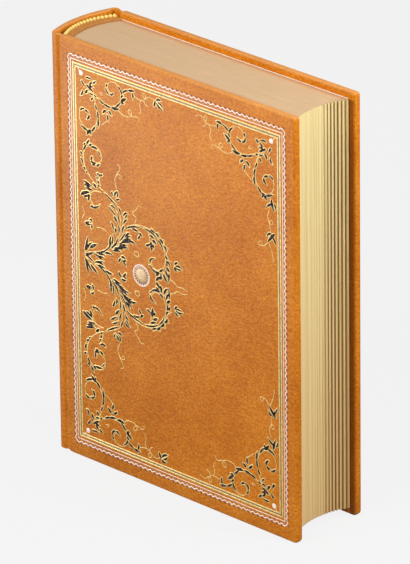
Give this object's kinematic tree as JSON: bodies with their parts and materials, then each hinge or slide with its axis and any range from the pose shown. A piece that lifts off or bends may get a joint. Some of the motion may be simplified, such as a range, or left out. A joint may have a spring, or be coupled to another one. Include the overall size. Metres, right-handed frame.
{
  "type": "leather-bound hardback book",
  "caption": "Thick leather-bound hardback book standing on its tail edge, with gilt edges, a rounded hollow spine, hinged covers and a scroll-tooled front cover.",
  "frame": {"origin": "middle of the book's footprint, on the surface that its tail edge stands on", "axes": "+X from the spine to the fore-edge, +Y from the front cover to the back cover, +Z from tail to head"},
  "size_m": [0.179, 0.0493, 0.24],
  "materials": {
    "cover_leather": "fine-grained tan leather, satin",
    "greyboard": "raw board",
    "card": "raw card",
    "endpaper": "matt paper",
    "page_paper": "trimmed page edges, faint gilt sheen",
    "hinge_cloth": "open-weave cloth",
    "headband_thread": "wound silk thread",
    "gold_foil": "pale gold stamping foil",
    "silver_foil": "pinkish silver stamping foil",
    "dark_foil": "dark pigment stamping foil"
  },
  "bodies": {
    "book_block": {"text_block": "page_paper", "front_flyleaf": "endpaper", "back_flyleaf": "endpaper", "head_band": "headband_thread", "tail_band": "headband_thread", "spine_mull": "hinge_cloth", "spine_stiffener": "card", "spine_leather": "cover_leather"},
    "front_cover": {"front_board": "greyboard", "front_board_infill": "card", "front_cover_leather": "cover_leather", "front_pastedown": "endpaper", "front_mull_flap": "hinge_cloth", "outer_fillet": "gold_foil", "inner_fillet": "gold_foil", "scroll_stems": "gold_foil", "scroll_tendrils": "gold_foil", "toothed_border": "silver_foil", "border_line": "silver_foil", "corner_studs": "silver_foil", "rosette": "silver_foil", "scroll_leaves": "dark_foil"},
    "back_cover": {"back_board": "greyboard", "back_board_infill": "card", "back_cover_leather": "cover_leather", "back_pastedown": "endpaper", "back_mull_flap": "hinge_cloth"}
  },
  "joints": [
    {"name": "front_hinge", "type": "hinge", "parent": "book_block", "child": "front_cover", "pos_m": [-0.07955, -0.0242, 0], "axis": [0, 0, -1], "range_deg": [0, 180]},
    {"name": "back_hinge", "type": "hinge", "parent": "book_block", "child": "back_cover", "pos_m": [-0.07955, 0.0242, 0], "axis": [0, 0, 1], "range_deg": [0, 180]}
  ]
}
